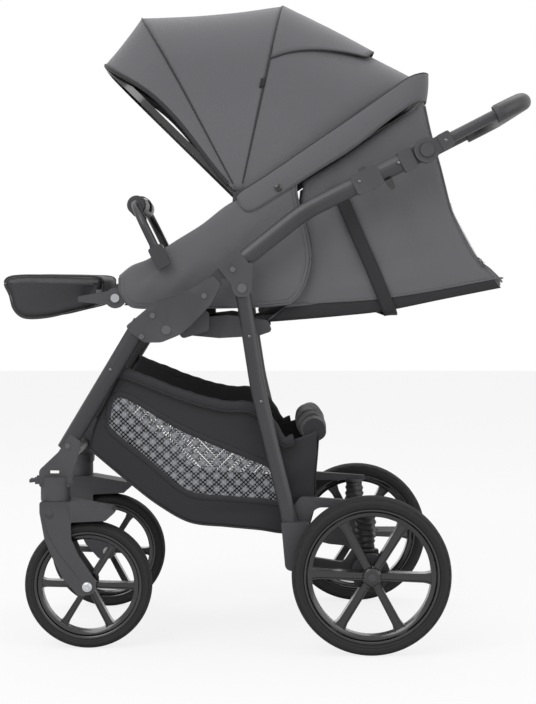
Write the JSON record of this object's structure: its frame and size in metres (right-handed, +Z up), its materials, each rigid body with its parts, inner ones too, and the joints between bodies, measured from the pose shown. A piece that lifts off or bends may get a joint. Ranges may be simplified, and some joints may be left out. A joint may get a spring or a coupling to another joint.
{
  "type": "baby stroller",
  "caption": "Folding baby stroller: reclining seat with adjustable hood, padded footrest and bumper bar on a four-wheel chassis with swivel front wheels.",
  "frame": {"origin": "on the floor, under the middle of the overall length and width", "axes": "+X forward, +Y the stroller's left side, +Z up"},
  "size_m": [0.9803, 0.593, 1.2093],
  "materials": {
    "frame_paint": "satin",
    "dark_plastic": "fine grain",
    "gloss_plastic": "polished",
    "tyre_rubber": "matt",
    "axle_steel": "brushed",
    "stud_chrome": "polished",
    "rivet_steel": "black",
    "grip_leatherette": "grained",
    "step_leatherette": "grained",
    "seat_fabric": "twill",
    "hood_cloth": "twill",
    "lining_fabric": "plain weave",
    "basket_fabric": "plain weave",
    "webbing": "ribbed",
    "spring_steel": "drawn",
    "boot_rubber": "matt"
  },
  "bodies": {
    "front_frame": {"front_legs": "frame_paint", "fold_housings": "dark_plastic", "front_cross_tube": "frame_paint", "caster_brackets": "dark_plastic", "seat_adapters": "dark_plastic", "front_frame_rivets": "rivet_steel", "basket": "basket_fabric"},
    "upper_frame": {"side_tubes": "frame_paint", "leg_brackets": "dark_plastic", "tube_collars": "dark_plastic", "upper_frame_rivets": "rivet_steel"},
    "handle": {"handle_tube": "frame_paint", "handle_grip": "grip_leatherette", "handle_hub_outer": "dark_plastic"},
    "handle_button_left": {"handle_button_left": "dark_plastic"},
    "handle_button_right": {"handle_button_right": "dark_plastic"},
    "fold_trigger_left": {"fold_trigger_left": "gloss_plastic"},
    "fold_trigger_right": {"fold_trigger_right": "gloss_plastic"},
    "swivel_lock_left": {"swivel_lock_left": "dark_plastic"},
    "swivel_lock_right": {"swivel_lock_right": "dark_plastic"},
    "caster_left": {"front_fork_left": "dark_plastic", "front_axle_left": "axle_steel"},
    "caster_right": {"front_fork_right": "dark_plastic", "front_axle_right": "axle_steel"},
    "front_wheel_left": {"front_tyre_left": "tyre_rubber", "front_rim_left": "gloss_plastic"},
    "front_wheel_right": {"front_tyre_right": "tyre_rubber", "front_rim_right": "gloss_plastic"},
    "rear_frame": {"rear_legs": "frame_paint", "suspension_brackets": "dark_plastic", "suspension_springs": "spring_steel", "spring_boots": "boot_rubber"},
    "rear_axle": {"rear_axle_beam": "frame_paint", "brake_drums": "dark_plastic"},
    "brake_pedal": {"brake_pedal": "dark_plastic"},
    "rear_wheel_left": {"rear_tyre_left": "tyre_rubber", "rear_rim_left": "gloss_plastic"},
    "rear_wheel_right": {"rear_tyre_right": "tyre_rubber", "rear_rim_right": "gloss_plastic"},
    "hub_button_left": {"hub_button_left": "dark_plastic"},
    "hub_button_right": {"hub_button_right": "dark_plastic"},
    "seat": {"seat_frame": "frame_paint", "seat_base_frame": "dark_plastic", "seat_shell": "seat_fabric", "seat_cushion": "seat_fabric", "harness": "webbing", "hood_band": "seat_fabric", "backrest_gusset": "seat_fabric", "recline_strap": "webbing", "hood_fabric": "hood_cloth"},
    "backrest": {"backrest_board": "dark_plastic", "backrest_pad": "seat_fabric"},
    "footrest": {"footrest_board": "dark_plastic", "footrest_cover": "step_leatherette", "footrest_studs": "stud_chrome"},
    "bumper": {"bumper_tube": "frame_paint", "bumper_grip": "grip_leatherette"},
    "hood_rear": {"hood_rear_bow": "gloss_plastic"},
    "hood_middle": {"hood_middle_bow": "gloss_plastic"},
    "hood_front": {"hood_front_bow": "gloss_plastic"}
  },
  "joints": [
    {"name": "chassis_fold", "type": "hinge", "parent": "front_frame", "child": "upper_frame", "pos_m": [0.182, 0, 0.59], "axis": [0, -1, 0], "range_deg": [0, 52]},
    {"name": "rear_legs_fold", "type": "hinge", "parent": "upper_frame", "child": "rear_frame", "pos_m": [0.044, 0, 0.666], "axis": [0, 1, 0], "range_deg": [0, 75.4]},
    {"name": "handle_angle", "type": "hinge", "parent": "upper_frame", "child": "handle", "pos_m": [-0.291, 0, 0.916], "axis": [0, 1, 0], "range_deg": [-50, 35]},
    {"name": "handle_button_left", "type": "slide", "parent": "handle", "child": "handle_button_left", "axis": [0, -1, 0], "range_m": [0, 0.004], "stiffness_N_per_m": 900},
    {"name": "handle_button_right", "type": "slide", "parent": "handle", "child": "handle_button_right", "axis": [0, 1, 0], "range_m": [0, 0.004], "stiffness_N_per_m": 900},
    {"name": "fold_trigger_left", "type": "slide", "parent": "upper_frame", "child": "fold_trigger_left", "axis": [-0.8944, 0, 0.4472], "range_m": [0, 0.008], "stiffness_N_per_m": 900},
    {"name": "fold_trigger_right", "type": "slide", "parent": "upper_frame", "child": "fold_trigger_right", "axis": [-0.8944, 0, 0.4472], "range_m": [0, 0.008], "stiffness_N_per_m": 900},
    {"name": "swivel_lock_left", "type": "hinge", "parent": "front_frame", "child": "swivel_lock_left", "pos_m": [0.421, 0.205, 0.3115], "axis": [0, -1, 0], "range_deg": [0, 25]},
    {"name": "front_caster_left", "type": "hinge", "parent": "front_frame", "child": "caster_left", "pos_m": [0.389, 0.205, 0.296], "axis": [0, 0, 1], "continuous": true},
    {"name": "front_wheel_left", "type": "hinge", "parent": "caster_left", "child": "front_wheel_left", "pos_m": [0.329, 0.205, 0.1175], "axis": [0, 1, 0], "continuous": true},
    {"name": "rear_wheel_left", "type": "hinge", "parent": "rear_axle", "child": "rear_wheel_left", "pos_m": [-0.191, 0.272, 0.145], "axis": [0, 1, 0], "continuous": true},
    {"name": "hub_button_left", "type": "slide", "parent": "rear_wheel_left", "child": "hub_button_left", "axis": [0, -1, 0], "range_m": [0, 0.003], "stiffness_N_per_m": 900},
    {"name": "swivel_lock_right", "type": "hinge", "parent": "front_frame", "child": "swivel_lock_right", "pos_m": [0.421, -0.205, 0.3115], "axis": [0, -1, 0], "range_deg": [0, 25]},
    {"name": "front_caster_right", "type": "hinge", "parent": "front_frame", "child": "caster_right", "pos_m": [0.389, -0.205, 0.296], "axis": [0, 0, 1], "continuous": true},
    {"name": "front_wheel_right", "type": "hinge", "parent": "caster_right", "child": "front_wheel_right", "pos_m": [0.329, -0.205, 0.1175], "axis": [0, 1, 0], "continuous": true},
    {"name": "rear_wheel_right", "type": "hinge", "parent": "rear_axle", "child": "rear_wheel_right", "pos_m": [-0.191, -0.272, 0.145], "axis": [0, 1, 0], "continuous": true},
    {"name": "hub_button_right", "type": "slide", "parent": "rear_wheel_right", "child": "hub_button_right", "axis": [0, 1, 0], "range_m": [0, 0.003], "stiffness_N_per_m": 900},
    {"name": "rear_suspension", "type": "hinge", "parent": "rear_frame", "child": "rear_axle", "pos_m": [-0.054, 0, 0.165], "axis": [0, 1, 0], "range_deg": [0, 5], "stiffness_Nm_per_rad": 400, "springref_deg": -2.86, "deforming": ["suspension_springs", "spring_boots"]},
    {"name": "brake_pedal", "type": "hinge", "parent": "rear_axle", "child": "brake_pedal", "pos_m": [-0.191, 0, 0.145], "axis": [0, -1, 0], "range_deg": [0, 20]},
    {"name": "seat_lift", "type": "slide", "parent": "front_frame", "child": "seat", "axis": [0, 0, 1], "range_m": [0, 0.06]},
    {"name": "backrest_recline", "type": "hinge", "parent": "seat", "child": "backrest", "pos_m": [0.035, 0, 0.595], "axis": [0, 1, 0], "range_deg": [0, 42], "deforming": ["backrest_gusset", "recline_strap"]},
    {"name": "footrest_angle", "type": "hinge", "parent": "seat", "child": "footrest", "pos_m": [0.28, 0, 0.647], "axis": [0, 1, 0], "range_deg": [0, 65]},
    {"name": "bumper_pull", "type": "slide", "parent": "seat", "child": "bumper", "axis": [0.4384, 0, 0.8988], "range_m": [0, 0.05]},
    {"name": "hood_rear", "type": "hinge", "parent": "seat", "child": "hood_rear", "pos_m": [0.049, 0, 0.836], "axis": [0, -1, 0], "range_deg": [0, 40], "deforming": ["hood_fabric"]},
    {"name": "hood_middle", "type": "hinge", "parent": "hood_rear", "child": "hood_middle", "pos_m": [0.049, 0, 0.836], "axis": [0, -1, 0], "range_deg": [0, 37]},
    {"name": "hood_front", "type": "hinge", "parent": "hood_middle", "child": "hood_front", "pos_m": [0.049, 0, 0.836], "axis": [0, -1, 0], "range_deg": [0, 13]}
  ],
  "couplings": [
    {"joint": "rear_legs_fold", "follows": "chassis_fold", "ratio": 1.45},
    {"joint": "hood_middle", "follows": "hood_rear", "ratio": 0.925},
    {"joint": "hood_front", "follows": "hood_rear", "ratio": 0.325}
  ]
}
